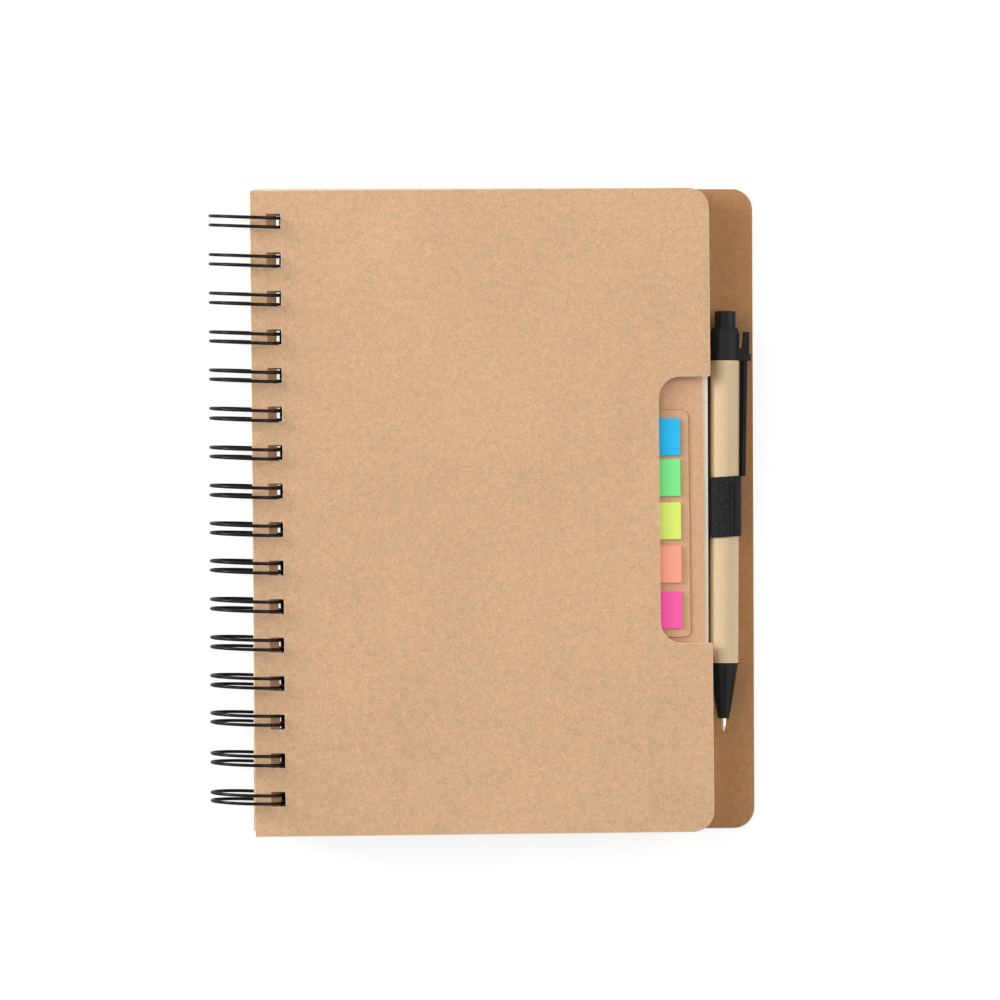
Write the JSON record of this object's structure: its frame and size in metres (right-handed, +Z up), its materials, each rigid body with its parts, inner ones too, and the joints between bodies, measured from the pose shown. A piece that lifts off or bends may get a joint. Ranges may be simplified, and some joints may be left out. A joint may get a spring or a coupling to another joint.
{
  "type": "spiral notebook",
  "caption": "Spiral notebook with kraft covers on a twin-loop wire, an index window over coloured sticky flags, and a click pen held in an elastic loop.",
  "frame": {"origin": "middle of the bounding box's base, on the surface that the book lies on", "axes": "+X from the spine towards the fore-edge and the pen, +Y along the spine towards the top of the cover and the pen's button, +Z up from the table through the front cover"},
  "size_m": [0.1806, 0.214, 0.0254],
  "materials": {
    "kraft_board": "matte, flecked",
    "kraft_card": "matte, flecked",
    "page_paper": "matte, ruled",
    "blue_paper": "matte",
    "green_paper": "matte",
    "yellow_paper": "matte",
    "orange_paper": "matte",
    "pink_paper": "matte",
    "black_wire": "gloss coated",
    "black_elastic": "woven, ribbed across",
    "barrel_paper": "wound paper, smooth",
    "black_plastic": "satin",
    "white_plastic": "satin",
    "refill_plastic": "translucent",
    "tip_metal": "turned",
    "spring_steel": "drawn wire"
  },
  "bodies": {
    "book": {"back_cover": "kraft_board", "page_block": "page_paper", "flag_divider": "kraft_card", "flag_card": "kraft_card", "flag_blue": "blue_paper", "flag_green": "green_paper", "flag_yellow": "yellow_paper", "flag_orange": "orange_paper", "flag_pink": "pink_paper", "twin_loop_wire": "black_wire", "pen_loop": "black_elastic"},
    "front": {"front_cover": "kraft_board"},
    "pen": {"pen_barrel": "barrel_paper", "pen_nose": "black_plastic", "pen_cap": "black_plastic", "pen_spring": "spring_steel"},
    "button": {"pen_button": "black_plastic"},
    "refill": {"pen_rotor": "white_plastic", "refill_tube": "refill_plastic", "refill_tip": "tip_metal"}
  },
  "joints": [
    {"name": "cover_turn", "type": "hinge", "parent": "book", "child": "front", "pos_m": [-0.07758, 0, 0.0127], "axis": [0, -1, 0], "range_deg": [0, 184]},
    {"name": "pen_slide", "type": "slide", "parent": "book", "child": "pen", "axis": [0.0078, 1, -0.0003], "range_m": [0, 0.084]},
    {"name": "click", "type": "slide", "parent": "pen", "child": "button", "axis": [0.0078, 1, -0.0003], "range_m": [-0.001, 0.005]},
    {"name": "refill_click", "type": "slide", "parent": "pen", "child": "refill", "axis": [0.0078, 1, -0.0003], "range_m": [-0.001, 0.005], "deforming": ["pen_spring"]}
  ],
  "couplings": [
    {"joint": "refill_click", "follows": "click", "ratio": 1}
  ]
}
